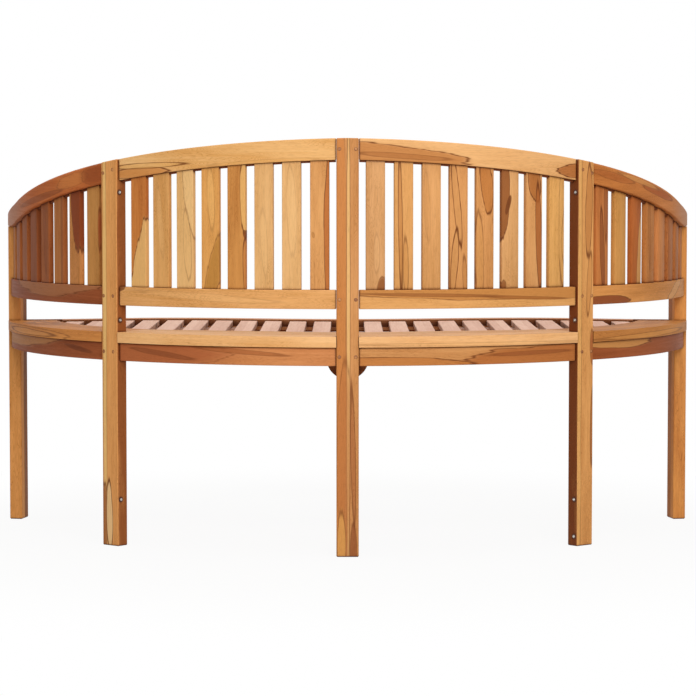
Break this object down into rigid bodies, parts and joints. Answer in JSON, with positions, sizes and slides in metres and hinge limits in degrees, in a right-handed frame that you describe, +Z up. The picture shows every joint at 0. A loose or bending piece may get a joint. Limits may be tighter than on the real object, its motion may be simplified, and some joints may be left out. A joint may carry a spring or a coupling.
{
  "type": "curved garden bench",
  "caption": "Curved garden bench in teak: a slatted back and arms in one round sweep over a slatted seat on square posts.",
  "frame": {"origin": "on the floor, under the middle of the bench's length and depth", "axes": "+X to the sitter's left along the bench, +Y to the middle of the back, +Z up; the sitter faces -Y"},
  "size_m": [1.5274, 0.75, 0.8423],
  "materials": {
    "teak_legs": "matt sealed teak, vertical grain",
    "teak_rails": "matt sealed teak, grain along the curve",
    "teak_slats": "matt sealed teak, vertical grain",
    "teak_seat": "matt sealed teak, grain front to back",
    "teak_inside": "matt teak in the shade under the seat",
    "stainless_steel": "stainless steel, round heads"
  },
  "bodies": {
    "root": {"apron_arm_left": "teak_rails", "apron_arm_right": "teak_rails", "apron_back_left": "teak_rails", "apron_back_right": "teak_rails", "apron_front_left": "teak_rails", "apron_front_right": "teak_rails", "arm_leg_left": "teak_legs", "arm_leg_right": "teak_legs", "arm_rail_left": "teak_rails", "arm_rail_right": "teak_rails", "arm_slats_left": "teak_slats", "arm_slats_right": "teak_slats", "back_rail_left": "teak_rails", "back_rail_right": "teak_rails", "back_slat_left_1": "teak_slats", "back_slat_left_2": "teak_slats", "back_slat_left_3": "teak_slats", "back_slat_left_4": "teak_slats", "back_slat_left_5": "teak_slats", "back_slat_left_6": "teak_slats", "back_slat_left_7": "teak_slats", "back_slat_left_8": "teak_slats", "back_slat_right_1": "teak_slats", "back_slat_right_2": "teak_slats", "back_slat_right_3": "teak_slats", "back_slat_right_4": "teak_slats", "back_slat_right_5": "teak_slats", "back_slat_right_6": "teak_slats", "back_slat_right_7": "teak_slats", "back_slat_right_8": "teak_slats", "cross_rail_centre": "teak_inside", "cross_rail_left": "teak_inside", "cross_rail_right": "teak_inside", "front_leg": "teak_legs", "leg_bracket_left": "teak_inside", "leg_bracket_right": "teak_inside", "leg_screw_left_1": "stainless_steel", "leg_screw_left_2": "stainless_steel", "leg_screw_left_3": "stainless_steel", "leg_screw_right_1": "stainless_steel", "leg_screw_right_2": "stainless_steel", "leg_screw_right_3": "stainless_steel", "leg_screw_right_4": "stainless_steel", "rear_leg_centre": "teak_legs", "rear_leg_left": "teak_legs", "rear_leg_right": "teak_legs", "rim_arm_left": "teak_seat", "rim_arm_right": "teak_seat", "rim_back_left": "teak_seat", "rim_back_right": "teak_seat", "rim_front_left": "teak_seat", "rim_front_right": "teak_seat", "seat_slats_left": "teak_seat", "seat_slats_middle": "teak_seat", "seat_slats_right": "teak_seat", "side_rail_left": "teak_rails", "side_rail_right": "teak_rails", "top_rail_left": "teak_rails", "top_rail_right": "teak_rails"}
  },
  "joints": []
}
